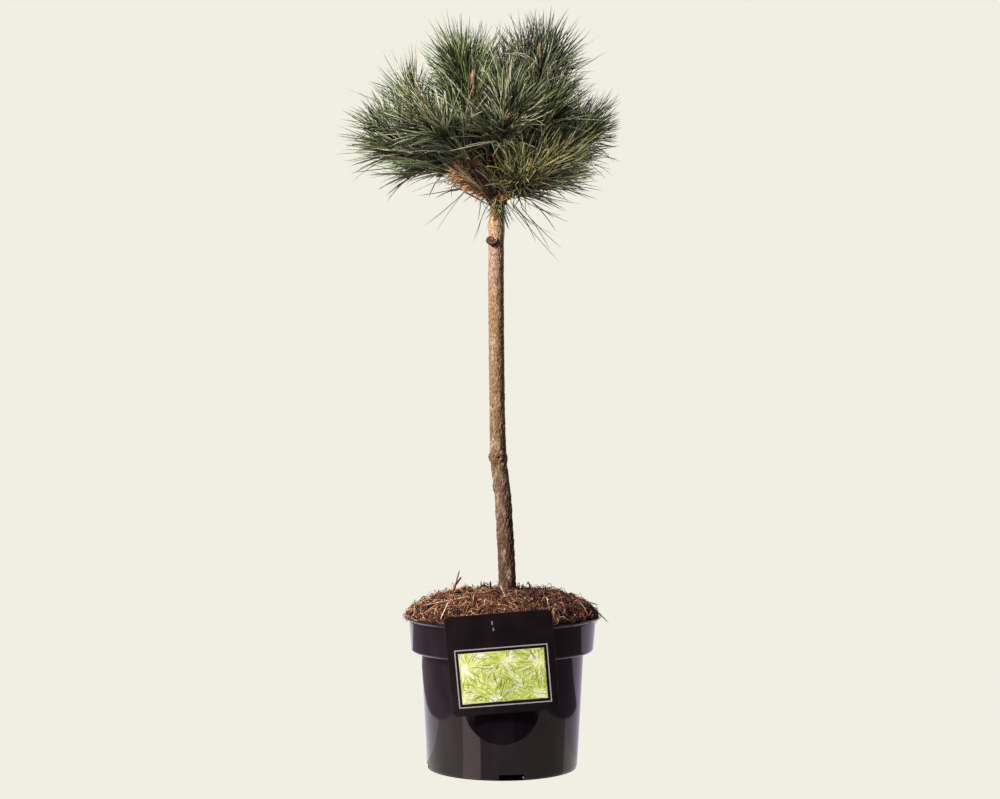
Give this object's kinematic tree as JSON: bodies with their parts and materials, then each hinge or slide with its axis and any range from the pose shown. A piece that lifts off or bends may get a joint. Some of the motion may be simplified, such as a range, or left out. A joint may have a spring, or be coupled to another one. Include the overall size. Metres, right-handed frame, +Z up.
{
  "type": "potted watereri scots pine",
  "caption": "Grafted pine grown as a small standard: clear stem, round crown of long needles, in a black nursery pot with a blank name card.",
  "frame": {"origin": "centre of the pot's flat underside", "axes": "+Z up along the stem, -Y the front with the name card, +X to the right seen from the front"},
  "size_m": [0.3262, 0.2762, 0.8717],
  "materials": {
    "pot": "gloss",
    "soil": "matte",
    "card": "satin",
    "bark": "matte",
    "needles": "satin"
  },
  "bodies": {
    "root": {"bough_back_high": "bark", "bough_back_left": "bark", "bough_back_low": "bark", "bough_back_right": "bark", "bough_front": "bark", "bough_front_left": "bark", "bough_front_low": "bark", "bough_front_right": "bark", "bough_left": "bark", "bough_right": "bark", "bough_right_low": "bark", "bough_upper_left": "bark", "name_card": "card", "needles_back_high": "needles", "needles_back_left": "needles", "needles_back_low": "needles", "needles_back_right": "needles", "needles_front": "needles", "needles_front_left": "needles", "needles_front_low": "needles", "needles_front_right": "needles", "needles_left": "needles", "needles_right": "needles", "needles_right_low": "needles", "needles_top": "needles", "needles_upper_left": "needles", "pot": "pot", "soil": "soil", "stem": "bark"}
  },
  "joints": []
}
